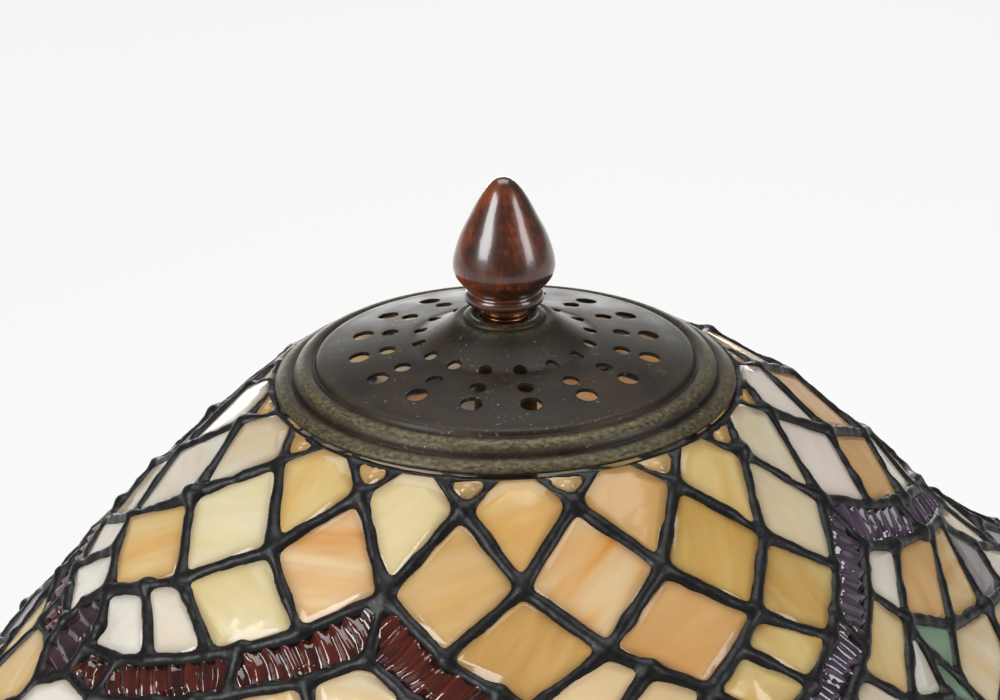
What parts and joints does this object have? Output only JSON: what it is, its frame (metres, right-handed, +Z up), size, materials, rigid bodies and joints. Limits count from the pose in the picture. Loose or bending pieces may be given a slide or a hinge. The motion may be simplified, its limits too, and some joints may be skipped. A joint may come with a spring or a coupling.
{
  "type": "stained glass table lamp",
  "caption": "Table lamp with a four-lobed leaded opalescent glass shade, pierced bronze cap, turned finial, pull-chain sockets and a turned stem on a round foot.",
  "frame": {"origin": "on the table, under the lamp's axis", "axes": "+Z up, -Y the front, +X to the right seen from the front"},
  "size_m": [0.3926, 0.3926, 0.5871],
  "materials": {
    "amber_glass": "glossy opalescent",
    "white_glass": "glossy opal",
    "cream_glass": "glossy opalescent",
    "ripple_glass": "glossy rippled",
    "green_glass": "glossy opalescent",
    "grey_glass": "glossy opalescent",
    "solder": "black patina, satin",
    "cap_bronze": "antique bronze, satin",
    "bronze": "antique bronze, satin",
    "brass": "satin",
    "copper_pipe": "satin",
    "steel": "satin",
    "iron": "matt",
    "lacquered_wood": "gloss lacquer",
    "felt": "matt",
    "black_plastic": "matt",
    "porcelain": "glazed",
    "paper": "matt",
    "nickel": "satin",
    "bulb_glass": "frosted"
  },
  "bodies": {
    "lamp": {"felt_pad": "felt", "foot": "bronze", "cord_bushing": "black_plastic", "weight": "iron", "base_washer": "steel", "base_nut": "brass", "stem": "bronze", "hub": "bronze", "threaded_pipe": "copper_pipe", "spacer_tube": "bronze", "seat_nut": "brass", "seat_washer": "steel", "nipple_left": "brass", "socket_cap_left": "brass", "socket_shell_left": "brass", "socket_liner_left": "paper", "socket_core_left": "porcelain", "screw_shell_left": "brass", "centre_contact_left": "brass", "chain_guide_left": "brass", "nipple_right": "brass", "socket_cap_right": "brass", "socket_shell_right": "brass", "socket_liner_right": "paper", "socket_core_right": "porcelain", "screw_shell_right": "brass", "centre_contact_right": "brass", "chain_guide_right": "brass"},
    "shade": {"cap": "cap_bronze", "leading": "solder", "hem_wire": "solder", "rim_glass": "amber_glass", "lattice_glass": "amber_glass", "shoulder_glass": "white_glass", "ribbon_glass": "ripple_glass", "crest_glass": "ripple_glass", "field_glass": "cream_glass", "leaf_glass": "green_glass", "petal_glass": "grey_glass", "blossom_glass": "amber_glass", "belt_glass": "ripple_glass", "hem_glass": "amber_glass"},
    "finial_thread": {"finial_insert": "brass"},
    "finial": {"finial": "lacquered_wood"},
    "bulb_thread_left": {"bulb_base_left": "nickel"},
    "bulb_left": {"bulb_glass_left": "bulb_glass"},
    "chain_left": {"pull_chain_left": "brass", "chain_knob_left": "lacquered_wood"},
    "bulb_thread_right": {"bulb_base_right": "nickel"},
    "bulb_right": {"bulb_glass_right": "bulb_glass"},
    "chain_right": {"pull_chain_right": "brass", "chain_knob_right": "lacquered_wood"}
  },
  "joints": [
    {"name": "shade_turn", "type": "hinge", "parent": "lamp", "child": "shade", "pos_m": [0, 0, 0.54], "axis": [0, 0, 1], "continuous": true},
    {"name": "finial_lift", "type": "slide", "parent": "lamp", "child": "finial_thread", "axis": [0, 0, 1], "range_m": [-0.0028, 0.009]},
    {"name": "finial_turn", "type": "hinge", "parent": "finial_thread", "child": "finial", "pos_m": [0, 0, 0.56], "axis": [0, 0, 1], "range_deg": [-1009, 3241]},
    {"name": "bulb_lift_left", "type": "slide", "parent": "lamp", "child": "bulb_thread_left", "axis": [-0.5736, 0, 0.8192], "range_m": [0, 0.01088]},
    {"name": "bulb_turn_left", "type": "hinge", "parent": "bulb_thread_left", "child": "bulb_left", "pos_m": [-0.02, 0, 0.37784], "axis": [-0.5736, 0, 0.8192], "range_deg": [0, 1080]},
    {"name": "switch_pull_left", "type": "slide", "parent": "lamp", "child": "chain_left", "axis": [0, 0, -1], "range_m": [0, 0.01], "stiffness_N_per_m": 400, "springref_m": -0.002},
    {"name": "bulb_lift_right", "type": "slide", "parent": "lamp", "child": "bulb_thread_right", "axis": [0.5736, 0, 0.8192], "range_m": [0, 0.01088]},
    {"name": "bulb_turn_right", "type": "hinge", "parent": "bulb_thread_right", "child": "bulb_right", "pos_m": [0.02, 0, 0.37784], "axis": [0.5736, 0, 0.8192], "range_deg": [0, 1080]},
    {"name": "switch_pull_right", "type": "slide", "parent": "lamp", "child": "chain_right", "axis": [0, 0, -1], "range_m": [0, 0.01], "stiffness_N_per_m": 400, "springref_m": -0.002}
  ],
  "couplings": [
    {"joint": "finial_turn", "follows": "finial_lift", "rad_per_m": 6283.2},
    {"joint": "bulb_turn_left", "follows": "bulb_lift_left", "rad_per_m": 1731.4},
    {"joint": "bulb_turn_right", "follows": "bulb_lift_right", "rad_per_m": 1731.4}
  ]
}
